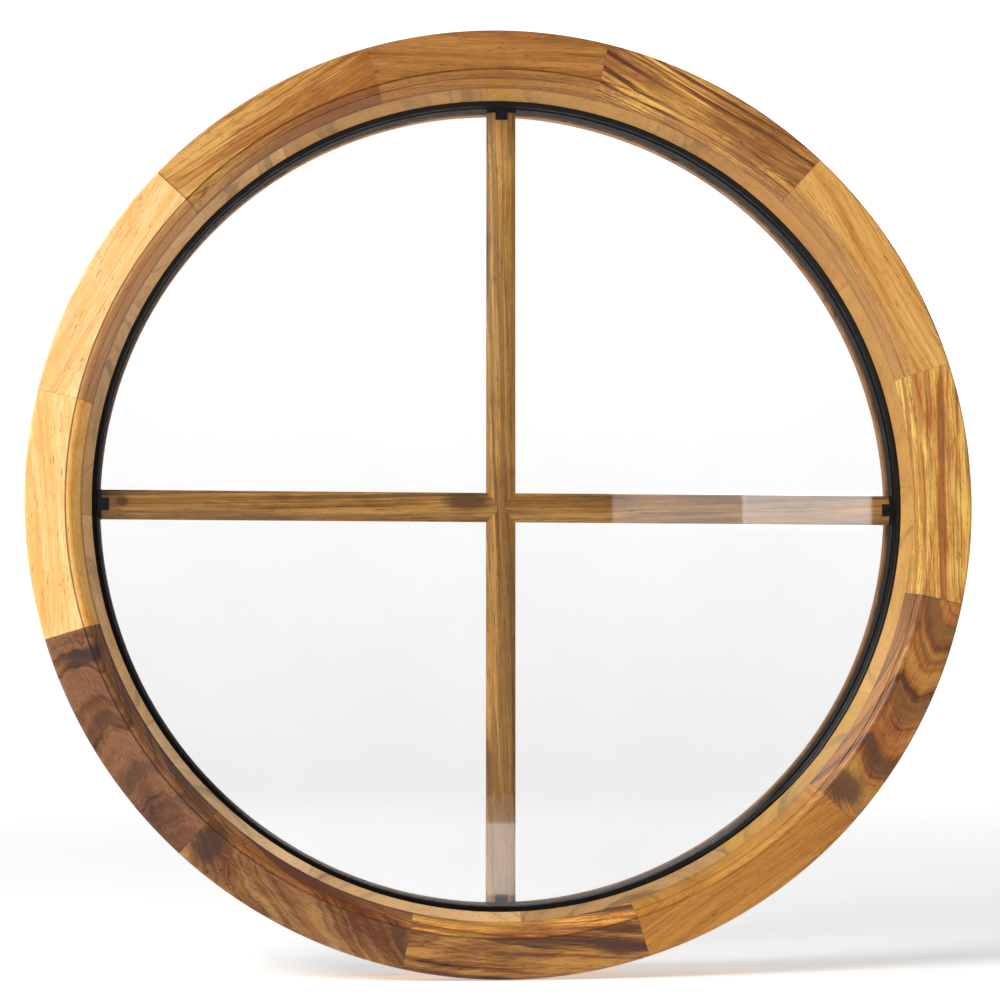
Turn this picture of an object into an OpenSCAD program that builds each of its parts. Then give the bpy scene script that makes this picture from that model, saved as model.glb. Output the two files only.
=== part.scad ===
// Round fixed window. A ring frame is glued up from three layers of wooden segments with
// staggered joints and then turned to one section. A sealed double-glazed unit, with a cross
// of wooden bars between its panes, sits in the rebate behind the frame's lip. Four glazing
// beads hold it from the back.
//
// Millimetres. The ring's axis is Y and the front faces -Y. +Z is up, and the origin is the
// middle of the ring. Depths are counted from the front face, and angles from +X towards +Z.

/* [Frame] */
// Outer diameter of the ring
frame_d = 800; // [600:5:1200]
// Width of the flat front face, from the rim to the moulding
face_w = 33; // [20:0.5:60]
// Thickness of the front layer of segments
front_t = 20; // [14:0.5:26]
// Thickness of the middle layer of segments
middle_t = 30; // [24:0.5:40]
// Thickness of the back layer of segments
back_t = 30; // [24:0.5:45]
// Number of segments in each layer
segments = 12; // [6:1:12]
// Angle of the first joint of the front layer
first_joint = 17.4; // [0:0.1:29]
// Rounding of the rim's two edges
rim_round = 2; // [0.5:0.5:5]

/* [Front moulding and reveal] */
// Drop from the flat face to the moulding
step_h = 1; // [0.5:0.1:2]
// Width of the small fillet at the foot of that drop
step_w = 0.6; // [0.2:0.1:2]
// Radius of the ovolo
ovolo_r = 5.6; // [3:0.1:8]
// Width of the small fillet between the ovolo and the reveal
quirk_w = 0.8; // [0.2:0.1:2]
// Radial width of the sloping reveal
reveal_w = 14; // [6:0.5:25]
// Depth of the shoulder that the glass is seated against
lip_t = 38; // [32:0.5:44]
// Radial depth of the glazing rebate
rebate_w = 16; // [14:0.5:26]

/* [Glazing unit] */
// Thickness of each pane
pane_t = 4; // [3:0.5:6]
// Distance between the panes
cavity_t = 16; // [14:1:20]
// Gap between the unit's edge and the rebate
glass_gap = 4; // [2:0.5:6]
// Bevel on the panes' edges
pane_arris = 0.5; // [0.2:0.1:1]
// Radial width of the spacer
spacer_w = 9; // [6:0.5:12]
// Radial width of the sealant outside the spacer
edge_seal_w = 7; // [4:0.5:10]
// Thickness of the butyl on each side of the spacer
butyl_t = 0.5; // [0.3:0.1:1]
// Distance from the butyl to each edge of the spacer
butyl_inset = 1; // [0.5:0.5:2]

/* [Seats and seals] */
// Thickness of the tape in front of the glass
front_tape_t = 3; // [2:0.5:5]
// Thickness of the tape behind the glass
back_tape_t = 2; // [1:0.5:4]
// Width of both tapes
tape_w = 7; // [5:0.5:10]
// Distance from the lip's edge to the front tape
tape_set_back = 2; // [1:0.5:4]
// How far the front sealant climbs the reveal, in depth
sealant_rise = 2; // [1:0.5:5]
// How far the front sealant's foot reaches over the glass past the lip
sealant_foot = 3.4; // [0.5:0.1:5]
// How far the front sealant bulges
sealant_bulge = 1.4; // [0.8:0.1:2]
// Number of setting blocks round the unit
setting_blocks = 6; // [3:1:8]
// Length of a setting block
setting_block_l = 40; // [20:1:60]

/* [Glazing beads] */
// How far the beads reach inside the lip's edge
bead_overhang = 4.5; // [0:0.1:6]
// Gap between the beads and the rebate
bead_gap = 0.2; // [0.1:0.1:1]
// Rounding of the beads' inner back edge
bead_round = 4; // [1:0.5:6]
// Number of beads in the ring
beads = 4; // [3:1:4]
// Number of pins in each bead
pins_per_bead = 3; // [2:1:4]
// Diameter of a pin
pin_d = 1.8; // [1.2:0.1:3]
// Length of a pin
pin_l = 30; // [25:1:32]
// Diameter of a pin's head
pin_head_d = 3.2; // [2:0.1:5]
// Thickness of a pin's head
pin_head_t = 1; // [0.5:0.1:2]
// Tilt of the pins towards the front
pin_tilt = 8; // [0:1:10]

/* [Bars] */
// Width of a bar
bar_w = 25; // [18:0.5:40]
// Thickness of a bar at its crown
bar_t = 12; // [8:0.5:13]
// Thickness of a bar at its sides
bar_side_t = 4; // [3.5:0.1:6]
// Width of the steep bevel along each side
bevel_w = 4; // [2:0.1:6]
// Thickness of a bar where the bevels end
bevel_top_t = 9.6; // [7:0.1:10]
// Width of the flat crown
crown_w = 8; // [4:0.5:12]
// How far the cross hangs below the middle of the ring
cross_drop = 4; // [0:0.5:15]
// Diameter of the dowel that joins the cross
dowel_d = 3; // [2:0.1:3.4]
// Length of the dowel
dowel_l = 50; // [45:1:80]

/* [End clips] */
// Thickness of a clip's base
clip_base_t = 2.6; // [1.5:0.1:5]
// Length of a clip's tongue
tongue_l = 6.4; // [4:0.1:15]
// Width of a clip's tongue
tongue_w = 10.5; // [6:0.1:14]
// Clearance between a tongue and its slot
clip_fit = 0.1; // [0.05:0.05:0.3]

/* [Hidden] */
$fn = 120;
// Facets of a large circle that cuts a small piece.
fine = 720;
frame_depth = front_t + middle_t + back_t;
sweep = 360 / segments;

// Radii of the frame's section, from the rim inwards.
rim_r = frame_d / 2;
face_r = rim_r - face_w;
ovolo_top_r = face_r - step_w;
ovolo_foot_r = ovolo_top_r - ovolo_r;
reveal_r = ovolo_foot_r - quirk_w;
lip_r = reveal_r - reveal_w;
rebate_r = lip_r + rebate_w;
reveal_depth = step_h + ovolo_r;

// The glazing unit and what seats it, from the front to the back.
glass_r = rebate_r - glass_gap;
outer_pane_depth = lip_t + front_tape_t;
cavity_depth = outer_pane_depth + pane_t;
inner_pane_depth = cavity_depth + cavity_t;
unit_back_depth = inner_pane_depth + pane_t;
bead_depth = unit_back_depth + back_tape_t;
spacer_outer_r = glass_r - edge_seal_w;
spacer_inner_r = spacer_outer_r - spacer_w;
bead_inner_r = lip_r - bead_overhang;
bead_outer_r = rebate_r - bead_gap;
bead_sweep = 360 / beads;
bulge_steps = 8;
pin_depth = (bead_depth + frame_depth) / 2;

// The cross lies in the middle of the cavity. Its bars end at the clips' bases.
cross_y = cavity_depth + cavity_t / 2 - frame_depth / 2;
bar_end = spacer_inner_r - clip_base_t;
sides = ["right", "top", "left", "bottom"];

// Tones of the front segments, from the first joint onwards.
front_tones = [
    "#c58a4d", "#b9793f", "#a96d38", "#c08340", "#e3b766", "#efc878",
    "#85592f", "#8f6136", "#a9743c", "#bd8142", "#a9773f", "#d19a50"
];
middle_tone = "#c99a66";
back_tone = "#bf8a50";
bar_tone = "#a3753f";
seal_tone = "#1d1b1a";

function two(n) = n < 10 ? str("0", n) : str(n);
function names(stem, count) = [for (i = [1:count]) str(stem, "_", two(i))];

// ---- Helpers

// A point of the ring's section at a radius and a depth.
function at(r, depth) = [r, frame_depth / 2 - depth];

// The reveal's radius at a depth.
function slope_r(depth) =
    reveal_r - reveal_w * (depth - reveal_depth) / (lip_t - reveal_depth);

// Turns a section about the ring's axis, from one angle over another.
module turn(start = 0, angle = 360)
    rotate([90, 0, 0]) rotate([0, 0, start]) rotate_extrude(angle = angle) children();

// A rectangle of the ring's section.
module band(r1, r2, depth1, depth2)
    polygon([at(r1, depth1), at(r2, depth1), at(r2, depth2), at(r1, depth2)]);

// What is cut from a corner to round it. The corner points along out, a pair of signs.
module corner_cut(corner, radius, out)
    translate(corner - radius * out)
        difference() {
            scale([out.x, out.y]) square(2 * radius);
            circle(radius);
        }

// Puts what lies along +X out along the ray at an angle, shifted sideways by a distance.
module along(angle, shift = 0) rotate([0, -angle, 0]) translate([0, 0, shift]) children();

// ---- Frame

module front_section()
    difference() {
        union() {
            polygon([
                at(rim_r, 0), at(face_r, 0), at(face_r, step_h), at(ovolo_top_r, step_h),
                at(ovolo_top_r, reveal_depth), at(reveal_r, reveal_depth),
                at(slope_r(front_t), front_t), at(rim_r, front_t)
            ]);
            translate(at(ovolo_top_r, reveal_depth)) circle(ovolo_r);
        }
        corner_cut(at(rim_r, 0), rim_round, [1, 1]);
    }

module middle_section()
    polygon([
        at(rim_r, front_t), at(slope_r(front_t), front_t), at(lip_r, lip_t),
        at(rebate_r, lip_t), at(rebate_r, front_t + middle_t), at(rim_r, front_t + middle_t)
    ]);

module back_section()
    difference() {
        band(rebate_r, rim_r, front_t + middle_t, frame_depth);
        corner_cut(at(rim_r, frame_depth), rim_round, [1, -1]);
    }

module front_segment(i)
    color(front_tones[(i - 1) % len(front_tones)])
        turn(first_joint + (i - 1) * sweep, sweep) front_section();

// The middle layer's joints lie half a segment from the others.
module middle_segment(i)
    color(middle_tone)
        turn(first_joint + (i - 1.5) * sweep, sweep) middle_section();

module back_segment(i)
    color(back_tone)
        difference() {
            turn(first_joint + (i - 1) * sweep, sweep) back_section();
            pins();
        }

// ---- Glazing unit

module pane(depth)
    color("#dfe8e6", 0.35)
        turn() polygon([
            at(0, depth), at(glass_r - pane_arris, depth), at(glass_r, depth + pane_arris),
            at(glass_r, depth + pane_t - pane_arris), at(glass_r - pane_arris, depth + pane_t),
            at(0, depth + pane_t)
        ]);

module spacer()
    color(seal_tone)
        turn() band(
            spacer_inner_r, spacer_outer_r, cavity_depth + butyl_t, inner_pane_depth - butyl_t
        );

module butyl_seal(depth)
    color(seal_tone)
        turn() band(
            spacer_inner_r + butyl_inset, spacer_outer_r - butyl_inset, depth, depth + butyl_t
        );

module edge_sealant()
    color(seal_tone)
        turn() band(spacer_outer_r, glass_r, cavity_depth, inner_pane_depth);

// ---- Bars

module bar_section() {
    side = bar_w / 2;
    bevel = side - bevel_w;
    crown = crown_w / 2;
    right = [
        [crown, -bar_t / 2], [bevel, -bevel_top_t / 2], [side, -bar_side_t / 2],
        [side, bar_side_t / 2], [bevel, bevel_top_t / 2], [crown, bar_t / 2]
    ];
    polygon(concat(right, [for (k = [len(right) - 1:-1:0]) [-right[k].x, right[k].y]]));
}

// A bar along +Z from one height to another, in the plane of the cross.
module bar_stock(low, high)
    translate([0, cross_y, low]) linear_extrude(high - low) bar_section();

// A clip's tongue along +X, or its slot when fit is a clearance.
module tongue(fit = 0)
    translate([bar_end - tongue_l - fit, cross_y - bar_t / 2 - fit, -tongue_w / 2 - fit])
        cube([tongue_l + clip_base_t / 2 + fit, bar_t + 2 * fit, tongue_w + 2 * fit]);

module dowel()
    translate([-dowel_l / 2, cross_y, -cross_drop])
        rotate([0, 90, 0]) cylinder(d = dowel_d, h = dowel_l);

module vertical_bar()
    color(bar_tone)
        difference() {
            bar_stock(-bar_end, bar_end);
            along(90) tongue(clip_fit);
            along(270) tongue(clip_fit);
            dowel();
        }

// How far the crossbar lies sideways of the ray at 0 or 180. At 90 and 270 it is nothing.
function drop_at(angle) = -cross_drop * cos(angle);

// Half of the crossbar, at 0 or 180. Its end is coped over the vertical bar's bevels.
module half_bar(angle)
    color(bar_tone)
        difference() {
            along(angle, drop_at(angle)) rotate([0, 90, 0]) bar_stock(crown_w / 2, bar_end);
            bar_stock(-bar_end, bar_end);
            along(angle, drop_at(angle)) tongue(clip_fit);
            dowel();
        }

module bar_dowel() color("#c9a877") dowel();

// A base that is stuck to the spacer, with a tongue in the bar's end.
module end_clip(angle)
    color(seal_tone)
        intersection() {
            turn($fn = fine) band(0, spacer_inner_r, cavity_depth, inner_pane_depth);
            along(angle, drop_at(angle)) {
                tongue();
                translate([bar_end, cross_y - bar_t / 2, -bar_w / 2])
                    cube([2 * clip_base_t, bar_t, bar_w]);
            }
        }

// ---- Seats and seals

module front_tape()
    color(seal_tone)
        turn() band(
            lip_r + tape_set_back, lip_r + tape_set_back + tape_w, lip_t, outer_pane_depth
        );

module back_tape()
    color(seal_tone) turn() band(lip_r, lip_r + tape_w, unit_back_depth, bead_depth);

// A bulging bead from the glass up the reveal, keyed in behind the lip.
module front_sealant() {
    foot = at(lip_r - sealant_foot, outer_pane_depth);
    head = at(slope_r(lip_t - sealant_rise), lip_t - sealant_rise);
    run = head - foot;
    outwards = [-run.y, run.x] / norm(run);
    color(seal_tone)
        turn() polygon(concat(
            [
                for (k = [0:bulge_steps])
                    let (t = k / bulge_steps)
                    foot + t * run + 4 * t * (1 - t) * sealant_bulge * outwards
            ],
            [
                at(lip_r, lip_t), at(lip_r + tape_set_back, lip_t),
                at(lip_r + tape_set_back, outer_pane_depth)
            ]
        ));
}

module blocks()
    color("#4a4d50")
        for (k = [1:setting_blocks]) {
            block_sweep = setting_block_l / rebate_r * 180 / PI;
            turn(k * 360 / setting_blocks - block_sweep / 2, block_sweep)
                band(glass_r, rebate_r, outer_pane_depth, unit_back_depth);
        }

// ---- Glazing beads

module bead_section()
    difference() {
        band(bead_inner_r, bead_outer_r, bead_depth, frame_depth);
        corner_cut(at(bead_inner_r, frame_depth), bead_round, [-1, -1]);
    }

// The pins lie in each bead's inner face and run outwards into the back layer. Their holes
// are the same shape, with a mouth that is open by a distance.
module pins(mouth = 0)
    for (k = [0:beads * pins_per_bead - 1])
        along((k - (pins_per_bead - 1) / 2) * bead_sweep / pins_per_bead)
            translate([bead_inner_r, pin_depth - frame_depth / 2, 0])
                rotate([0, 0, -pin_tilt]) rotate([0, 90, 0]) {
                    cylinder(d = pin_d, h = pin_l);
                    translate([0, 0, -mouth]) cylinder(d = pin_head_d, h = pin_head_t + mouth);
                }

module glazing_bead(i)
    color(back_tone)
        difference() {
            turn((i - 1.5) * bead_sweep, bead_sweep) bead_section();
            pins(pin_head_t);
        }

module bead_pins() color("#b9b4a6") pins();

// ---- The nodes

for (i = [1:segments]) {
    front_segment(i);
    middle_segment(i);
    back_segment(i);
}
for (i = [1:beads])
    glazing_bead(i);
for (k = [0:len(sides) - 1])
    end_clip(90 * k);
pane(outer_pane_depth);  // outer_pane
pane(inner_pane_depth);  // inner_pane
spacer();
butyl_seal(cavity_depth);  // outer_butyl_seal
butyl_seal(inner_pane_depth - butyl_t);  // inner_butyl_seal
edge_sealant();
vertical_bar();
half_bar(180);  // left_bar
half_bar(0);  // right_bar
bar_dowel();
front_tape();
back_tape();
front_sealant();
blocks();  // setting_blocks
bead_pins();
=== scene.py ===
"""The looks of the round window: wood, glass, seals, light and camera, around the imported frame.

Metres, in the row frame: the ring's axis is Y, the front faces -Y and +Z is up.
"""

import math

import bmesh
import bpy
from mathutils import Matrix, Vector

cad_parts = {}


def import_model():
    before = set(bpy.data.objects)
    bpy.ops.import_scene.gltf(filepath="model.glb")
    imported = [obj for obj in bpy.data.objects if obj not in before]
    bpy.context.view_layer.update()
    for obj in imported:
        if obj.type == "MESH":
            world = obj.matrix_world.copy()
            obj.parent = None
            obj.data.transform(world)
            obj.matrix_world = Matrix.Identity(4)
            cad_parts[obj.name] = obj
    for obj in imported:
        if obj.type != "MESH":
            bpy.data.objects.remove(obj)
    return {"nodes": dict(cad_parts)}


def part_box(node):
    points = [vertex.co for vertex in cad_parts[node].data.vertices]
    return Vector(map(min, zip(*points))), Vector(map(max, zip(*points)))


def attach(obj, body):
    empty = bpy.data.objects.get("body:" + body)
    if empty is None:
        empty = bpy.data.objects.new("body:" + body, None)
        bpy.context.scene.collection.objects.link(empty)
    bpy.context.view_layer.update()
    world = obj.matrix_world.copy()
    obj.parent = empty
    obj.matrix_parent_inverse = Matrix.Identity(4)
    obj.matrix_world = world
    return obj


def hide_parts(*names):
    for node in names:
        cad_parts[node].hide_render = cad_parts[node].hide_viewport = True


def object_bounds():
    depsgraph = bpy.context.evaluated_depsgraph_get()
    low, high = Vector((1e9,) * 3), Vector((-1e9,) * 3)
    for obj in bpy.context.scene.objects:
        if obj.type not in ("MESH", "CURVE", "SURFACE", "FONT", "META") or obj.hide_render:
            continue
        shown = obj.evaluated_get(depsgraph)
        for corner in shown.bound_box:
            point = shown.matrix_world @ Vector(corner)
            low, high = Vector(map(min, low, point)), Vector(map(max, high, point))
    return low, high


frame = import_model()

MM = 0.001
NODES = frame["nodes"]
cad_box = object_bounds()
FRONT = cad_box[0][1]
RIM_R = cad_box[1][0]
FLOOR_Z = cad_box[0][2]


# ---- Shader trees


def linear(rgb):
    """Linear colour, with alpha, from 0 to 255 sRGB."""
    out = []
    for v in rgb:
        v /= 255
        out.append(v / 12.92 if v <= 0.04045 else ((v + 0.055) / 1.055) ** 2.4)
    return (*out, 1.0)


def shade(rgb, factor):
    """A darker or lighter sRGB colour."""
    return tuple(min(255, v * factor) for v in rgb)


class Tree:
    """A short way to write a material's node tree."""

    def __init__(self, name):
        self.material = bpy.data.materials.new(name)
        self.material.use_nodes = True
        self.nodes = self.material.node_tree.nodes
        self.links = self.material.node_tree.links
        self.nodes.clear()

    def node(self, kind, *inputs, **settings):
        """A node of that kind. Inputs are (socket, value or output socket) pairs."""
        n = self.nodes.new("ShaderNode" + kind)
        for key, value in settings.items():
            setattr(n, key, value)
        for socket, value in inputs:
            if isinstance(value, bpy.types.NodeSocket):
                self.links.new(value, n.inputs[socket])
            else:
                n.inputs[socket].default_value = value
        return n

    def math(self, operation, a, b=0.0, c=0.0):
        return self.node("Math", (0, a), (1, b), (2, c), operation=operation).outputs[0]

    def larger(self, a, b):
        """The larger of two values, or b alone where a is None."""
        return b if a is None else self.math("MAXIMUM", a, b)

    def apart(self, vector):
        """The vector's X, Y and Z."""
        return self.node("SeparateXYZ", ("Vector", vector)).outputs

    def length(self, vector):
        return self.node("VectorMath", (0, vector), operation="LENGTH").outputs["Value"]

    def scaled(self, vector, scale, offset=(0, 0, 0)):
        """The vector times a scale, then moved."""
        n = self.node("VectorMath", (0, vector), (1, scale), (2, offset), operation="MULTIPLY_ADD")
        return n.outputs[0]

    def noise(self, vector, scale=(1, 1, 1), offset=(0, 0, 0), detail=2.0, roughness=0.5, distort=0.0):
        """Smooth noise, from 0 to 1, with that many grains to the metre along each axis."""
        n = self.node(
            "TexNoise", ("Vector", self.scaled(vector, scale, offset)), ("Scale", 1.0),
            ("Detail", detail), ("Roughness", roughness), ("Distortion", distort),
        )
        return n.outputs["Fac"]

    def ramp(self, factor, stops):
        """A colour ramp. Stops are (position, linear colour)."""
        n = self.node("ValToRGB", (0, factor))
        elements = n.color_ramp.elements
        while len(elements) < len(stops):
            elements.new(0.5)
        for element, (position, colour) in zip(elements, stops):
            element.position = position
            element.color = colour
        return n.outputs["Color"]

    def span(self, value, low, high, out_low=0.0, out_high=1.0):
        """The value eased from low..high to out_low..out_high."""
        n = self.node(
            "MapRange", ("Value", value), ("From Min", low), ("From Max", high),
            ("To Min", out_low), ("To Max", out_high), interpolation_type="SMOOTHSTEP",
        )
        return n.outputs["Result"]

    def mix(self, factor, a, b, blend="MIX"):
        """The colour a, with as much of the colour b as the factor says."""
        n = self.node("Mix", data_type="RGBA", blend_type=blend)
        # A Mix node has a row of sockets for each type of data: 6 and 7 are its two colours.
        for socket, value in ((n.inputs[0], factor), (n.inputs[6], a), (n.inputs[7], b)):
            if isinstance(value, bpy.types.NodeSocket):
                self.links.new(value, socket)
            else:
                socket.default_value = value
        return n.outputs[2]

    def position(self):
        return self.node("TexCoord").outputs["Object"]

    def surface(self, shader):
        """The material, once the shader is its surface."""
        self.node("OutputMaterial", ("Surface", shader))
        return self.material


# ---- Wood


GLUE = (58, 34, 16)
SEAM_LINE = 0.55 * MM
LAYER_LINE = 0.4 * MM


def wood(name, look, turn=0.0, middle=0.0, seams=(), layers=(), edges=(), seed=0.0):
    """Lacquered wood whose grain runs along Z, turned about Y by an angle in degrees.

    middle: how far from the axis the board's middle lies, across its grain, in metres.
    look: what look() below makes.
    seams: the radial glue joints, as (angle in degrees, which side of it the piece lies on).
    layers: depths of the joints between layers, in metres.
    edges: radii of the dark lines of painted shade along the piece's inner edges, from the face's inwards, in
    metres.
    seed: shifts the noises, so that no two pieces are alike.
    """
    tree = Tree(name)
    here = tree.position()
    turned = tree.node(
        "Mapping", ("Vector", here), ("Rotation", (0, math.radians(turn), 0)),
        ("Location", (-middle, 0, 0)), vector_type="POINT",
    ).outputs[0]
    shift = (seed * 0.731 + 0.2, seed * 0.417, seed * 1.193)

    # The grain wanders: slow noise moves each point across the grain.
    swirl = look["swirl"] * MM
    wander = tree.node(
        "TexNoise", ("Vector", tree.scaled(turned, (14, 14, 5), shift)), ("Scale", look["curl"]),
        ("Detail", 4.0), ("Roughness", 0.52),
    ).outputs["Color"]
    wander = tree.scaled(wander, (2 * swirl, 2 * swirl, 0), (-swirl, -swirl, 0))
    grain = tree.node("VectorMath", (0, turned), (1, wander), operation="ADD").outputs[0]
    across, depth, along = tree.apart(grain)

    # Growth rings about a pith that comes nearer along the grain, which draws the long arches.
    pith_across, pith_behind = (v * MM for v in look["pith"])
    dx = tree.math("SUBTRACT", across, pith_across)
    dy = tree.math("SUBTRACT", depth, pith_behind)
    dy = tree.math("MULTIPLY_ADD", along, look["tilt"], dy)
    distance = tree.math("SQRT", tree.math("ADD", tree.math("POWER", dx, 2), tree.math("POWER", dy, 2)))
    # Figure that follows the rings: the same distance keeps the same tone along the grain.
    figure = tree.node(
        "CombineXYZ", ("X", distance), ("Y", tree.math("MULTIPLY", across, 0.03)), ("Z", along)
    ).outputs[0]
    growth = tree.noise(figure, (1000 / look["ring"], 12, 1.6), shift, 3.0, 0.55)
    ring = tree.span(growth, 0.48, 0.62)
    hair = tree.span(tree.noise(figure, (430, 60, 5), shift, 2.0, 0.6), 0.55, 0.66)
    streak = tree.noise(figure, (260, 60, 5), shift, 5.0, 0.68)
    fibre = tree.noise(grain, (1000, 1000, 34), shift, 3.0, 0.7)
    patch = tree.noise(turned, (22, 22, 9), shift, 4.0, 0.6, 0.6)
    tone = 0.55
    for part, mean, weight in (
        (ring, 0.35, -look["rings"]),
        (hair, 0.2, -look["hairs"]),
        (streak, 0.5, look["streaks"]),
        (fibre, 0.5, 1.0),
        (patch, 0.5, look["patches"]),
        (along, 0.0, look["fade"] / (100 * MM)),
    ):
        tone = tree.math("MULTIPLY_ADD", tree.math("SUBTRACT", part, mean), weight, tone)
    dark, mid, light, heart = (linear(look[k]) for k in ("dark", "mid", "light", "heart"))
    between = tuple(0.4 * d + 0.6 * m for d, m in zip(dark, mid))
    colour = tree.ramp(tone, [(0.1, dark), (0.36, between), (0.56, mid), (0.9, light)])

    # Bold dark streaks, where the look has them.
    if look["bold"]:
        bold = tree.noise(figure, (look["bolds"], 20, 2.0), tuple(s + 4.7 for s in shift), 5.0, 0.6)
        colour = tree.mix(tree.span(bold, 0.53, 0.61, 0.0, look["bold"]), colour, heart)

    # Thin dark lines that keep to the rings, some of them faint.
    if look["lines"]:
        drift = tree.noise(figure, (40, 10, 2.0), tuple(s + 2.3 for s in shift), 3.0, 0.6)
        phase = tree.math("MULTIPLY_ADD", drift, 3.0, tree.math("DIVIDE", distance, look["gap"] * MM))
        off = tree.math("ABSOLUTE", tree.math("SUBTRACT", tree.math("FRACT", phase), 0.5))
        width = tree.math("MULTIPLY_ADD", streak, 0.3, -0.02)
        line = tree.span(tree.math("DIVIDE", off, width), 0.4, 1.3, 1.0, 0.0)
        faint = tree.noise(figure, (60, 10, 7.0), shift, 3.0, 0.6)
        faint = tree.span(faint, 0.36, 0.56, 0.1, look["lines"])
        colour = tree.mix(tree.math("MULTIPLY", line, faint), colour, heart)

    # Dark spots, blurred along the grain and bent by it.
    for at_across, at_along, wide, long in look["spots"]:
        place = tree.scaled(
            grain, (2 / (wide * MM), 0, 2 / (long * MM)), (-2 * at_across / wide, 0, -2 * at_along / long)
        )
        near = tree.math("MULTIPLY_ADD", tree.math("SUBTRACT", streak, 0.5), 1.6, tree.length(place))
        colour = tree.mix(tree.span(near, 0.5, 1.25, 0.85, 0.0), colour, heart)

    # Open pores: short dark dashes along the grain.
    pore = tree.noise(grain, (1300, 1300, 110), tuple(s + 9.1 for s in shift), 1.0, 0.4)
    pores = tree.span(pore, 0.63, 0.73, 0.0, 0.6)
    colour = tree.mix(pores, colour, linear(shade(look["dark"], 0.55)))

    # Fine dark lines where pieces are glued together.
    sideways, height, _ = tree.apart(here)
    joint = None
    for angle, side in seams:
        a = math.radians(angle)
        across_joint = (-side * math.sin(a), 0, side * math.cos(a))
        off = tree.node("VectorMath", (0, here), (1, across_joint), operation="DOT_PRODUCT").outputs["Value"]
        joint = tree.larger(joint, tree.span(off, 0.0, SEAM_LINE, 1.0, 0.0))
    for layer in layers:
        off = tree.math("ABSOLUTE", tree.math("SUBTRACT", height, layer))
        joint = tree.larger(joint, tree.span(off, 0.0, LAYER_LINE, 0.9, 0.0))
    if joint is not None:
        colour = tree.mix(tree.math("MULTIPLY", joint, 0.4), colour, linear(GLUE))

    # Inside the face's edge, the moulding and the reveal are multiplied by each segment's inner tint, which
    # is painted light and shade.
    # Dark lines of painted shade run along the inner edges, in the step and the corner, stronger on the left,
    # where they face away from the light.
    if edges:
        radius = tree.length(tree.scaled(here, (1, 0, 1)))
        inner = tree.span(radius, edges[0] - 2 * MM, edges[0], 1.0, 0.0)
        colour = tree.mix(inner, colour, (*look["inner"], 1.0), "MULTIPLY")
        left = tree.span(sideways, -0.34, 0.2, 1.0, 0.25)
        left = tree.math("MULTIPLY", left, tree.span(patch, 0.3, 0.6, 0.7, 1.0))
    for edge in edges:
        off = tree.math("ABSOLUTE", tree.math("SUBTRACT", radius, edge))
        # Painted shade along each inner edge.
        painted_edge_shade = tree.math("MULTIPLY", tree.span(off, 0.3 * MM, 1.1 * MM, 0.7, 0.0), left)
        colour = tree.mix(painted_edge_shade, colour, linear(shade(look["dark"], 0.6)))

    rough = tree.math("MULTIPLY_ADD", fibre, 0.16, 0.34)
    rough = tree.math("MULTIPLY_ADD", pores, 0.3, rough)
    relief = tree.math("MULTIPLY_ADD", pores, -1.0, tree.math("MULTIPLY", fibre, 0.7))
    if joint is not None:
        relief = tree.math("MULTIPLY_ADD", joint, -1.2, relief)
    bump = tree.node("Bump", ("Height", relief), ("Strength", 0.4), ("Distance", 0.12 * MM)).outputs[0]
    shader = tree.node(
        "BsdfPrincipled", ("Base Color", colour), ("Roughness", rough), ("Normal", bump),
        ("Coat Weight", 0.15), ("Coat Roughness", 0.28), ("IOR", 1.4),
    )
    return tree.surface(shader.outputs[0])


def look(dark, mid, light, ring, pith, **rest):
    """How one piece of wood looks. Colours are sRGB, lengths mm.

    ring is the growth rings' spacing, pith the rings' middle (across, behind) and tilt how fast it
    comes nearer along the grain. rings, hairs, streaks and patches say how strongly each shows, swirl
    how far the grain wanders, curl how often, and fade how much lighter the piece gets in 100 mm.
    heart is the colour of three dark marks: bold streaks (bold says how dark, bolds how many to the
    metre), thin lines (lines says how dark, gap their spacing) and spots (across, along, wide, long).
    inner is the tint that the moulding and the reveal are multiplied by, painted light and shade that makes
    them lighter or darker segment by segment.
    """
    usual = dict(
        tilt=0.05, rings=0.3, hairs=0.3, streaks=0.9, patches=0.9, swirl=3.0, curl=1.0, fade=0.0,
        heart=dark, bold=0.0, bolds=150, lines=0.0, gap=9, spots=(), inner=(1, 1, 1),
    )
    return {**usual, **dict(dark=dark, mid=mid, light=light, ring=ring, pith=pith), **rest}
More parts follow.
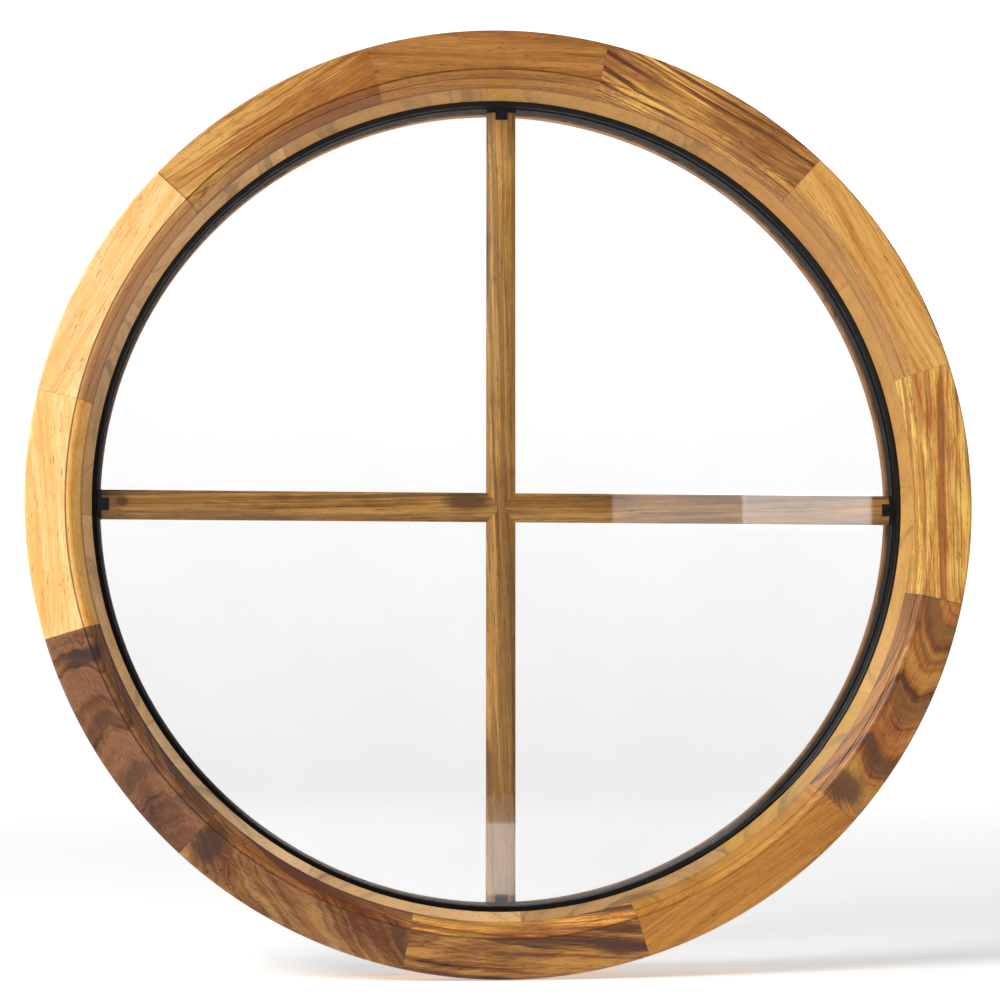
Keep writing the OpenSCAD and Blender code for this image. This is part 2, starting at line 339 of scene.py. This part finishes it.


# The front segments from the first joint on, counter-clockwise seen from the front.
# Each look's inner tint is painted light and shade on the moulding and the reveal.
FRONT_LOOKS = [
    look((173, 110, 45), (211, 154, 79), (229, 177, 104), 7, (-90, 30), rings=0.15, streaks=0.9,
         swirl=4, inner=(0.59, 0.54, 0.48)),
    look((58, 26, 12), (160, 104, 53), (231, 176, 87), 9, (-110, 50), tilt=0.07, rings=0.1, streaks=0.7,
         lines=0.9, gap=8, heart=(84, 44, 30), swirl=3, inner=(1.07, 1.05, 0.77)),
    look((114, 62, 15), (154, 100, 43), (180, 124, 61), 8, (-90, 60), rings=0.2, streaks=0.9,
         lines=0.3, gap=12, heart=(104, 62, 34), swirl=6, inner=(1.22, 1.23, 0.92)),
    look((130, 72, 22), (158, 98, 39), (206, 157, 82), 7, (90, 60), rings=0.25, streaks=0.9,
         lines=0.3, gap=10, heart=(104, 62, 34), swirl=6, fade=0.22, inner=(0.94, 0.85, 0.72)),
    look((222, 160, 84), (244, 181, 111), (253, 214, 158), 6, (-120, 50), rings=0.12, streaks=0.7,
         swirl=4, inner=(0.59, 0.48, 0.39)),
    look((222, 160, 84), (244, 183, 107), (253, 219, 162), 7, (90, 50), rings=0.12, streaks=0.7,
         swirl=5, inner=(1.03, 0.89, 0.52)),
    look((70, 39, 23), (114, 70, 40), (137, 93, 60), 12, (10, 50), tilt=0.4, rings=0.4, streaks=1.1,
         hairs=0.4, patches=1.8, bold=0.6, bolds=70, heart=(60, 42, 38), swirl=13, curl=2.4,
         spots=[(-14, -74, 34, 16)], inner=(1.14, 1.10, 1.00)),
    look((93, 46, 9), (139, 91, 46), (168, 123, 68), 12, (-40, 50), tilt=0.3, rings=0.4, streaks=1.1,
         patches=1.6, bold=0.7, bolds=90, heart=(66, 44, 32), swirl=11, curl=1.9,
         spots=[(-12, -84, 34, 26)], inner=(1.40, 1.27, 1.15)),
    look((35, 19, 6), (128, 75, 29), (185, 130, 56), 9, (-90, 50), tilt=0.14, rings=0.4, streaks=1.1,
         patches=1.2, bold=0.6, bolds=90, lines=0.6, gap=9, heart=(64, 38, 24), swirl=7,
         spots=[(-2, 84, 12, 56)], inner=(2.10, 2.10, 1.86)),
    look((145, 79, 15), (168, 108, 34), (191, 131, 54), 6, (90, 30), rings=0.15, streaks=0.7,
         swirl=3, inner=(1.10, 1.19, 1.00)),
    look((91, 47, 13), (162, 97, 41), (182, 127, 59), 9, (4, 24), tilt=0.22, rings=0.5, streaks=1.0,
         patches=1.2, bold=0.6, heart=(84, 56, 36), swirl=6,
         spots=[(-10, -80, 34, 30)], inner=(0.88, 0.87, 0.70)),
    look((145, 87, 41), (187, 117, 55), (237, 192, 96), 8, (-100, 50), rings=0.3, streaks=1.0,
         lines=0.5, gap=10, heart=(120, 74, 38), swirl=6, inner=(0.99, 1.20, 1.02)),
]

# The middle layer's tones, lighter and greyer, from the joint half a segment before the front's first.
MIDDLE_TONES = [
    (176, 128, 59), (179, 125, 58), (180, 131, 64), (180, 131, 71), (207, 158, 96), (207, 159, 104),
    (245, 191, 131), (238, 193, 143), (213, 170, 116), (179, 136, 84), (175, 132, 56), (184, 138, 70),
]
# The back layer's, dealt out in turn.
BACK_TONES = [(196, 138, 76), (170, 116, 62), (206, 150, 84), (150, 100, 58), (186, 130, 70), (214, 160, 90)]


def paint(node, material):
    """Gives a CAD node a material of its own."""
    mesh = NODES[node].data
    mesh.materials.clear()
    mesh.materials.append(material)


SEGMENTS = len(FRONT_LOOKS)
SWEEP = 360 / SEGMENTS


def start_angle(node):
    """The angle in degrees, from +X towards +Z, where a segment of the ring starts."""
    half = math.radians(SWEEP / 2)
    points = [v.co for v in NODES[node].data.vertices]
    middle = sum((Vector((p.x, p.z)).normalized() for p in points), Vector((0, 0))).normalized()
    return math.degrees(math.atan2(middle.y, middle.x) - half)


RING_MIDDLE = 0.95 * RIM_R
BEAD_MIDDLE = 0.75 * RIM_R
front_back_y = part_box("front_segment_01")[1][1]
middle_back_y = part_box("middle_segment_01")[1][1]

# The front layer's inner edges, where the lines of painted shade run: the face's, and the reveal's at the
# joint with the middle layer.
front_points = [v.co for v in NODES["front_segment_01"].data.vertices]
face_r = min(math.hypot(p.x, p.z) for p in front_points if p.y < FRONT + 0.1 * MM)
reveal_r = min(math.hypot(p.x, p.z) for p in front_points)
front_edges = (face_r - 0.3 * MM, reveal_r + 0.5 * MM)


def paint_segment(layer, i, looks, layers, seed, edges=()):
    """Paints one segment of a layer, with a glue joint at each end."""
    name = f"{layer}_segment_{i + 1:02d}"
    a = start_angle(name)
    seams = [(a, 1), (a + SWEEP, -1)]
    turn = a + SWEEP / 2
    paint(name, wood(f"{layer}_wood_{i + 1:02d}", looks, turn, RING_MIDDLE, seams, layers, edges, seed))


for i in range(SEGMENTS):
    paint_segment("front", i, FRONT_LOOKS[i], [front_back_y], i + 1, front_edges)
    mid = MIDDLE_TONES[i]
    middle = look(shade(mid, 0.7), mid, shade(mid, 1.1), 7, (90 + 7 * i, 50), rings=0.15, streaks=0.8)
    paint_segment("middle", i, middle, [front_back_y, middle_back_y], 20 + i)
    mid = BACK_TONES[(5 * i + 2) % len(BACK_TONES)]
    back = look(shade(mid, 0.6), mid, shade(mid, 1.15), 8, (-56 + 10 * i, -70), tilt=0.12, bold=0.35, swirl=5)
    paint_segment("back", i, back, [middle_back_y], 40 + i)

bead = look((120, 76, 38), (180, 124, 70), (206, 150, 90), 7, (90, 60), rings=0.2, streaks=0.8)
beads = sorted(n for n in NODES if n.startswith("glazing_bead_"))
for i, name in enumerate(beads):
    sweep = 360 / len(beads)
    a = (i - 0.5) * sweep
    seams = [(a, 1), (a + sweep, -1)]
    paint(name, wood(f"bead_wood_{i + 1:02d}", bead, a + sweep / 2, BEAD_MIDDLE, seams, seed=60 + i))

# The crossbar is darker than the upright bar, with two spots on its left half.
upright = look((104, 64, 26), (178, 128, 60), (212, 160, 84), 8, (40, 40), tilt=0.04, rings=0.25,
               streaks=1.0, bold=0.5, heart=(84, 52, 24))
crossbar = {**upright, **dict(dark=(88, 52, 18), mid=(156, 108, 44), light=(196, 146, 72))}
spotted = {**crossbar, **dict(spots=[(-2, 322, 9, 12), (0, 30, 20, 40)])}
dowel = look((150, 112, 70), (200, 165, 118), (220, 188, 142), 6, (30, 30), rings=0.2)
paint("vertical_bar", wood("vertical_bar_wood", upright, 0, seed=71))
paint("left_bar", wood("left_bar_wood", spotted, 90, seed=72))
paint("right_bar", wood("right_bar_wood", crossbar, 90, seed=73))
paint("bar_dowel", wood("dowel_wood", dowel, 90, seed=74))


# ---- Seals, plastic and steel


def dull(name, rgb, rough, spread, scale, bump, gloss=0.3):
    """Rubber or plastic: a mottled colour, uneven gloss and a fine skin.

    spread: how far the colour strays, as a share. scale: the skin's grains to the metre. bump: their
    height in mm.
    """
    tree = Tree(name)
    here = tree.position()
    slow = tree.noise(here, (60, 60, 60), (3.1, 0.4, 7.7), 3.0)
    fine = tree.noise(here, (scale, scale, scale), (0, 0, 0), 2.0, 0.6)
    colour = tree.mix(slow, linear(shade(rgb, 1 - spread)), linear(shade(rgb, 1 + spread)))
    colour = tree.mix(tree.span(fine, 0.55, 0.75, 0.0, 0.5), colour, linear(shade(rgb, 1.5)))
    normal = tree.node("Bump", ("Height", fine), ("Strength", 0.4), ("Distance", bump * MM)).outputs[0]
    shader = tree.node(
        "BsdfPrincipled", ("Base Color", colour), ("Normal", normal), ("Specular IOR Level", gloss),
        ("Roughness", tree.math("MULTIPLY_ADD", slow, 0.2, rough - 0.1)),
    )
    return tree.surface(shader.outputs[0])


silicone = dull("silicone", (9, 6, 4), 0.36, 0.15, 700, 0.05, 0.17)
paint("spacer", dull("spacer_foam", (12, 9, 7), 0.5, 0.12, 2600, 0.04, 0.15))
paint("edge_sealant", dull("edge_sealant", (30, 29, 29), 0.6, 0.15, 900, 0.08))
butyl = dull("butyl", (20, 20, 20), 0.35, 0.15, 600, 0.03)
for name in ("outer_butyl_seal", "inner_butyl_seal"):
    paint(name, butyl)
tape = dull("tape_foam", (36, 36, 37), 0.75, 0.12, 3200, 0.08)
for name in ("front_tape", "back_tape"):
    paint(name, tape)
clip_plastic = dull("clip_plastic", (18, 14, 12), 0.45, 0.1, 5200, 0.03, 0.2)
for name in sorted(n for n in NODES if n.startswith("end_clip_")):
    paint(name, clip_plastic)
paint("setting_blocks", dull("block_plastic", (74, 77, 80), 0.5, 0.08, 3800, 0.04))


def steel(name):
    """Drawn steel with fine scratches and a little stain."""
    tree = Tree(name)
    here = tree.position()
    scratch = tree.noise(here, (3000, 900, 3000), (1, 2, 3), 3.0, 0.7)
    stain = tree.noise(here, (400, 400, 400), (5, 1, 2), 2.0)
    colour = tree.ramp(stain, [(0.3, linear((150, 146, 138))), (0.7, linear((206, 203, 196)))])
    normal = tree.node("Bump", ("Height", scratch), ("Strength", 0.3), ("Distance", 0.02 * MM)).outputs[0]
    shader = tree.node(
        "BsdfPrincipled", ("Base Color", colour), ("Metallic", 1.0), ("Normal", normal),
        ("Roughness", tree.math("MULTIPLY_ADD", scratch, 0.25, 0.2)),
    )
    return tree.surface(shader.outputs[0])


paint("bead_pins", steel("pin_steel"))


# ---- The front sealant, tooled by hand


LOOSE_AT = 305
LOOSE_OVER = 34


def ripple(angle, seed, lowest=3):
    """An irregular wave round the ring, within 2 either way. Its two ends don't quite meet."""
    total = 0.0
    for k in range(9):
        turns = lowest + 3 * k + (seed * (k + 1)) % 3
        total += math.sin(turns * angle + seed * (k + 1.7)) / (1 + 0.35 * k)
    return total / 2.2


def hand(angle):
    """How unsteady the tooling is, up to 1: most on the lower right."""
    return 0.35 + 0.65 * math.exp(-((math.degrees(angle) - LOOSE_AT) / LOOSE_OVER) ** 2)


def sealant():
    """The CAD ring of sealant again, with an edge that wavers along the glass and up the wood."""
    # The corners of the CAD ring's section, as (radius, y): the foot on the glass, the head up on the
    # reveal and, between them, the edge of the wooden lip.
    near = 0.2 * MM
    points = [v.co for v in NODES["front_sealant"].data.vertices]
    profile = {(round(math.hypot(p.x, p.z), 4), round(p.y, 4)) for p in points}
    glass_y = max(y for _, y in profile)
    head = min(profile, key=lambda p: p[1])
    foot = min((p for p in profile if p[1] > glass_y - near), key=lambda p: p[0])
    outer = max(r for r, _ in profile)
    lip_y = min(y for r, y in profile if r > outer - near)
    lip_r = min(r for r, y in profile if abs(y - lip_y) < near and r > head[0] - 1.5 * MM)

    # Steps round the ring and along the bead's face, and how far that face stands proud.
    around, along, bulge = 900, 14, 1.3 * MM
    slope = Vector((head[0] - foot[0], head[1] - foot[1]))
    away = Vector((-slope.y, slope.x)).normalized()
    if away.x > 0:
        away = -away
    verts, faces = [], []
    for i in range(around):
        a = 2 * math.pi * i / around
        loose = hand(a) * MM
        low = Vector((foot[0] + 0.55 * loose * ripple(a, 1.3), foot[1]))
        lift = 0.45 * loose * ripple(a, 2.9)
        high = Vector(head) + lift * Vector((head[0] - lip_r, head[1] - lip_y)).normalized()
        full = bulge * (1 + 0.25 * loose / MM * ripple(a, 4.1, 5))
        ring = []
        for j in range(along + 1):
            t = j / along
            ring.append(low.lerp(high, t) + 4 * t * (1 - t) * full * away)
        ring += [Vector((lip_r, lip_y)), Vector((outer, lip_y)), Vector((outer, glass_y))]
        verts += [(p.x * math.cos(a), p.y, p.x * math.sin(a)) for p in ring]
    n = len(ring)
    for i in range(around):
        k = (i + 1) % around
        for j in range(n):
            m = (j + 1) % n
            faces.append((i * n + j, i * n + m, k * n + m, k * n + j))
    mesh = bpy.data.meshes.new("sealant_bead")
    mesh.from_pydata(verts, [], faces)
    bm = bmesh.new()
    bm.from_mesh(mesh)
    bmesh.ops.recalc_face_normals(bm, faces=bm.faces)
    bm.to_mesh(mesh)
    bm.free()
    mesh.shade_smooth()
    mesh.set_sharp_from_angle(angle=math.radians(50))
    obj = bpy.data.objects.new("sealant_bead", mesh)
    bpy.context.collection.objects.link(obj)
    mesh.materials.append(silicone)
    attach(obj, "root")
    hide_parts("front_sealant")


sealant()


# ---- Glass


def glass(name, tint):
    """A clear pane. Its front faces mirror for both of its surfaces, and nothing bends."""
    tree = Tree(name)
    haze = tree.noise(tree.position(), (9, 9, 9), (2, 5, 1), 3.0, 0.6)
    fresnel = tree.node("Fresnel", ("IOR", 1.5)).outputs[0]
    both = tree.math("DIVIDE", tree.math("MULTIPLY", fresnel, 2), tree.math("ADD", fresnel, 1))
    facing = tree.math("SUBTRACT", 1.0, tree.node("NewGeometry").outputs["Backfacing"])
    mirror = tree.math("MULTIPLY", both, facing)
    clear = tree.mix(haze, linear(tint), linear(shade(tint, 0.992)))
    through = tree.node("BsdfTransparent", ("Color", clear)).outputs[0]
    shine = tree.node("BsdfGlossy", ("Color", (1, 1, 1, 1)), ("Roughness", 0.02)).outputs[0]
    shader = tree.node("MixShader", (0, mirror), (1, through), (2, shine))
    return tree.surface(shader.outputs[0])


for name in ("outer_pane", "inner_pane"):
    paint(name, glass(name + "_glass", (254, 254, 254)))


# ---- Stage: floor, light, world and camera


FLOOR_R = 4.5
GLOW_NEAR, GLOW_FAR = 0.42, 0.7
GLOW_FROM = 0.6
DIM_FROM = -1.8

# The surround's level, how it grows towards +X, +Y and +Z, and its limits: first as a light, dimmer
# in front, then as the camera sees it, white and a little brighter above, so that panes read as glass.
LIT = (0.235, (-0.14, 0.14, 0.09), 0.05, 1.0)
SEEN = (1.09, (0, 0, 1.4), 1.06, 1.3)


def floor():
    """A pale floor under the ring, a wide disc.

    It glows, more with distance, so that its far edge meets the surround. Far in front it doesn't, so
    that the panes don't mirror the edge there.
    """
    mesh = bpy.data.meshes.new("floor")
    bm = bmesh.new()
    bmesh.ops.create_circle(bm, cap_ends=True, segments=96, radius=FLOOR_R)
    bm.to_mesh(mesh)
    bm.free()
    obj = bpy.data.objects.new("floor", mesh)
    obj.location.z = FLOOR_Z - 0.5 * MM
    bpy.context.collection.objects.link(obj)
    tree = Tree("floor_paint")
    here = tree.position()
    speck = tree.noise(here, (40, 40, 40), (0, 0, 0), 3.0)
    colour = tree.mix(speck, (0.86, 0.86, 0.86, 1), (0.9, 0.9, 0.9, 1))
    away = tree.span(tree.length(here), GLOW_FROM, FLOOR_R, GLOW_NEAR, GLOW_FAR)
    behind = tree.span(tree.apart(here)[1], -0.95 * FLOOR_R, DIM_FROM, 0.0, 1.0)
    shader = tree.node(
        "BsdfPrincipled", ("Base Color", colour), ("Roughness", 0.8), ("Emission Color", (1, 1, 1, 1)),
        ("Emission Strength", tree.math("MULTIPLY", away, behind)),
    )
    mesh.materials.append(tree.surface(shader.outputs[0]))


def lamp(name, place, target, size, power):
    """A soft rectangular lamp that the camera doesn't see. Size in metres, power in watts."""
    light = bpy.data.lights.new(name, "AREA")
    light.shape = "RECTANGLE"
    light.size, light.size_y = size
    light.energy = power
    obj = bpy.data.objects.new(name, light)
    obj.location = place
    obj.rotation_euler = (Vector(target) - Vector(place)).to_track_quat("-Z", "Y").to_euler()
    obj.visible_camera = False
    bpy.context.collection.objects.link(obj)


def world(lit, seen):
    """A soft white surround: how it lights the ring, and how the camera sees it."""
    w = bpy.data.worlds.new("studio")
    bpy.context.scene.world = w
    w.use_nodes = True
    nodes, links = w.node_tree.nodes, w.node_tree.links
    nodes.clear()
    way = nodes.new("ShaderNodeTexCoord").outputs["Generated"]

    def background(middle, growth, least, most):
        """A white background whose strength is middle plus growth along each axis, within limits."""
        along = nodes.new("ShaderNodeVectorMath")
        along.operation = "DOT_PRODUCT"
        links.new(way, along.inputs[0])
        along.inputs[1].default_value = growth
        strength = along.outputs["Value"]
        for operation, value in (("ADD", middle), ("MAXIMUM", least), ("MINIMUM", most)):
            step = nodes.new("ShaderNodeMath")
            step.operation = operation
            links.new(strength, step.inputs[0])
            step.inputs[1].default_value = value
            strength = step.outputs[0]
        shader = nodes.new("ShaderNodeBackground")
        shader.inputs["Color"].default_value = (1, 1, 1, 1)
        links.new(strength, shader.inputs["Strength"])
        return shader.outputs[0]

    mix = nodes.new("ShaderNodeMixShader")
    links.new(nodes.new("ShaderNodeLightPath").outputs["Is Camera Ray"], mix.inputs[0])
    links.new(background(*lit), mix.inputs[1])
    links.new(background(*seen), mix.inputs[2])
    links.new(mix.outputs[0], nodes.new("ShaderNodeOutputWorld").inputs[0])


def card(name, xs, y, zs, strength, soft):
    """A glowing board that shows only in reflections. soft: how wide its edge fades, in metres."""
    (x0, x1), (z0, z1) = xs, zs
    mesh = bpy.data.meshes.new(name)
    half_w, half_h = (x1 - x0) / 2, (z1 - z0) / 2
    corners = [(-half_w, 0, -half_h), (half_w, 0, -half_h), (half_w, 0, half_h), (-half_w, 0, half_h)]
    mesh.from_pydata(corners, [], [(0, 1, 2, 3)])
    obj = bpy.data.objects.new(name, mesh)
    obj.location = ((x0 + x1) / 2, y, (z0 + z1) / 2)
    bpy.context.collection.objects.link(obj)
    tree = Tree(name)
    x, _, z = tree.apart(tree.position())
    inside_x = tree.span(tree.math("ABSOLUTE", x), half_w - soft, half_w, 1.0, 0.0)
    inside_z = tree.span(tree.math("ABSOLUTE", z), half_h - soft, half_h, 1.0, 0.0)
    glow = tree.math("MULTIPLY", tree.math("MULTIPLY", inside_x, inside_z), strength)
    light = tree.node("Emission", ("Strength", glow)).outputs[0]
    clear = tree.node("BsdfTransparent").outputs[0]
    mesh.materials.append(tree.surface(tree.node("AddShader", (0, light), (1, clear)).outputs[0]))
    obj.visible_camera = obj.visible_diffuse = obj.visible_shadow = obj.visible_transmission = False


floor()
world(LIT, SEEN)
lamp("key", (-2.2, -2.0, 1.9), (0, 0, 0), (1.6, 1.6), 122)

# The panes mirror two cards on the crossbar's right half and a low one on the upright bar's foot.
# Each is only as high, or as wide, as the bar it lies on.
CARD_Y = -3.0
CARD_ZS = (0.19, 0.262)
card("card_right", (0.53, 0.81), CARD_Y, CARD_ZS, 1.8, 7 * MM)
card("card_far_right", (0.796, 1.07), CARD_Y, CARD_ZS, 4.2, 7 * MM)
card("card_low", (0.072, 0.112), -0.9, (FLOOR_Z, FLOOR_Z + 0.09), 2.2, 5 * MM)

# The camera stands left of the axis and below it. The picture's middle isn't quite the ring's.
DISTANCE = 2.2
YAW = math.radians(6.0)
PITCH = math.radians(4.55)
FRAME_WIDTH = 0.8395
AIM = (-0.0072, -0.0018)
SENSOR = 36
camera = bpy.data.cameras.new("camera")
camera.sensor_width = SENSOR
camera.lens = SENSOR * DISTANCE / FRAME_WIDTH
camera.shift_x, camera.shift_y = AIM
camera.clip_end = 50
eye = bpy.data.objects.new("camera", camera)
target = Vector((0, FRONT, 0))
eye.location = target - DISTANCE * Vector(
    (math.cos(PITCH) * math.sin(YAW), math.cos(PITCH) * math.cos(YAW), math.sin(PITCH))
)
eye.rotation_euler = (target - eye.location).to_track_quat("-Z", "Y").to_euler()
bpy.context.collection.objects.link(eye)
scene = bpy.context.scene
scene.camera = eye
scene.view_settings.view_transform = "Standard"
